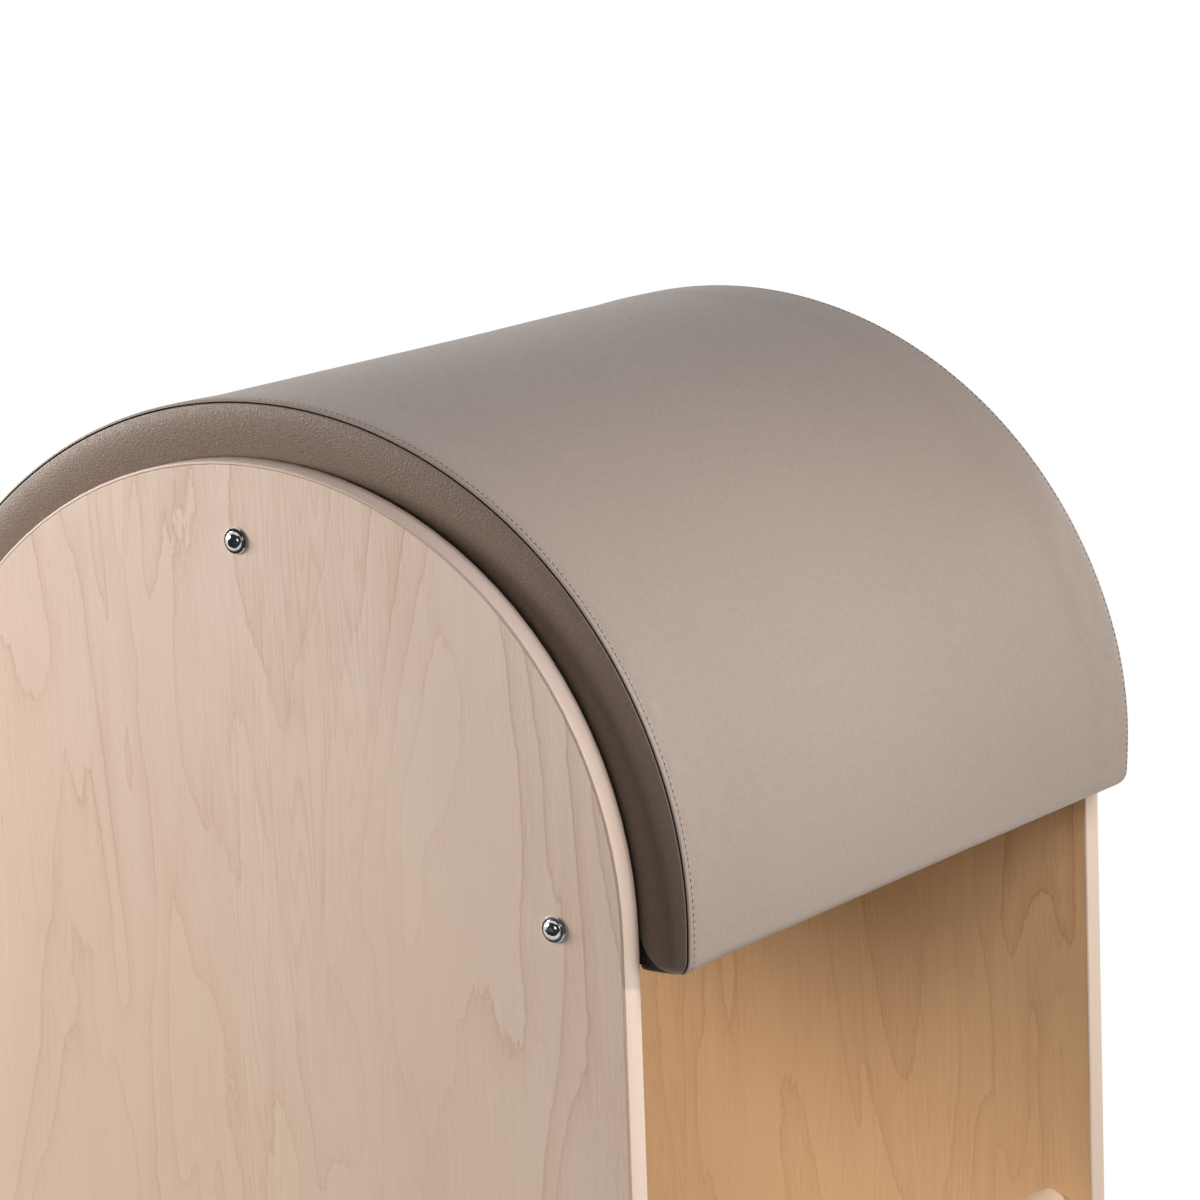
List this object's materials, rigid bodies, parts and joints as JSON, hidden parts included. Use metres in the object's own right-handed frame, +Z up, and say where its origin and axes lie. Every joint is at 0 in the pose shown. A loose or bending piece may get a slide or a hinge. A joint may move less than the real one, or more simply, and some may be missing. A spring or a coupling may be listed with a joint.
{
  "type": "pilates ladder barrel",
  "caption": "Pilates ladder barrel: a padded half-round barrel between two arched wooden side panels, and a leaning ladder on slotted rails that slide in and are clamped by hand knobs.",
  "frame": {"origin": "on the floor, at the middle of the part's box", "axes": "+X from the ladder towards the barrel, +Y along the barrel's axis to the side with the left panel, +Z up"},
  "size_m": [1.2078, 0.7312, 0.9543],
  "materials": {
    "maple_veneer": "satin lacquered maple veneer, grain upright",
    "maple_edge_band": "satin pale maple edge band",
    "maple_solid": "satin lacquered solid maple",
    "plywood": "raw birch plywood",
    "foam": "firm upholstery foam",
    "vinyl": "satin taupe upholstery vinyl with a fine grain",
    "lining": "black dust-cover cloth",
    "chrome": "polished chrome plating",
    "zinc_steel": "zinc-plated steel",
    "knob_plastic": "black fine-textured plastic",
    "rubber": "black rubber"
  },
  "bodies": {
    "barrel": {"right_side_panel": "maple_veneer", "right_edge_band": "maple_edge_band", "right_washer_top": "chrome", "right_bolt_top": "chrome", "right_washer_front": "chrome", "right_bolt_front": "chrome", "right_washer_rear": "chrome", "right_bolt_rear": "chrome", "right_foot_front": "rubber", "right_foot_rear": "rubber", "right_cleat_lower": "maple_solid", "right_cleat_upper": "maple_solid", "left_side_panel": "maple_veneer", "left_edge_band": "maple_edge_band", "left_washer_top": "chrome", "left_bolt_top": "chrome", "left_washer_front": "chrome", "left_bolt_front": "chrome", "left_washer_rear": "chrome", "left_bolt_rear": "chrome", "left_foot_front": "rubber", "left_foot_rear": "rubber", "left_cleat_lower": "maple_solid", "left_cleat_upper": "maple_solid", "stretcher_front": "maple_solid", "stretcher_rear": "maple_solid", "right_former": "plywood", "left_former": "plywood", "middle_rib": "plywood", "barrel_shell": "plywood", "batten_front": "plywood", "batten_rear": "plywood", "barrel_foam": "foam", "barrel_cover": "vinyl", "dust_cover": "lining", "right_clamp_washer": "zinc_steel", "left_clamp_washer": "zinc_steel"},
    "ladder": {"right_rail": "maple_solid", "right_upright": "maple_solid", "right_lap_bolt_1": "chrome", "right_lap_bolt_2": "chrome", "right_rail_foot": "rubber", "left_rail": "maple_solid", "left_upright": "maple_solid", "left_lap_bolt_1": "chrome", "left_lap_bolt_2": "chrome", "left_rail_foot": "rubber", "rung_1": "maple_solid", "rung_2": "maple_solid", "rung_3": "maple_solid", "rung_4": "maple_solid", "rung_5": "maple_solid", "rail_end_board": "maple_solid", "rail_tie": "maple_solid"},
    "right_knob": {"right_clamp_knob": "knob_plastic"},
    "right_nut": {"right_clamp_nut": "zinc_steel"},
    "left_knob": {"left_clamp_knob": "knob_plastic"},
    "left_nut": {"left_clamp_nut": "zinc_steel"}
  },
  "joints": [
    {"name": "ladder_slide", "type": "slide", "parent": "barrel", "child": "ladder", "axis": [1, 0, 0], "range_m": [0, 0.15]},
    {"name": "right_knob_turn", "type": "hinge", "parent": "barrel", "child": "right_knob", "pos_m": [0.06464, -0.35, 0.075], "axis": [0, 1, 0], "range_deg": [0, 143]},
    {"name": "right_nut_travel", "type": "slide", "parent": "barrel", "child": "right_nut", "axis": [0, -1, 0], "range_m": [0, 0.0005]},
    {"name": "left_knob_turn", "type": "hinge", "parent": "barrel", "child": "left_knob", "pos_m": [0.06464, 0.35, 0.075], "axis": [0, -1, 0], "range_deg": [0, 143]},
    {"name": "left_nut_travel", "type": "slide", "parent": "barrel", "child": "left_nut", "axis": [0, 1, 0], "range_m": [0, 0.0005]}
  ],
  "couplings": [
    {"joint": "right_nut_travel", "follows": "right_knob_turn", "m_per_rad": 0.00019894},
    {"joint": "left_nut_travel", "follows": "left_knob_turn", "m_per_rad": 0.00019894}
  ]
}
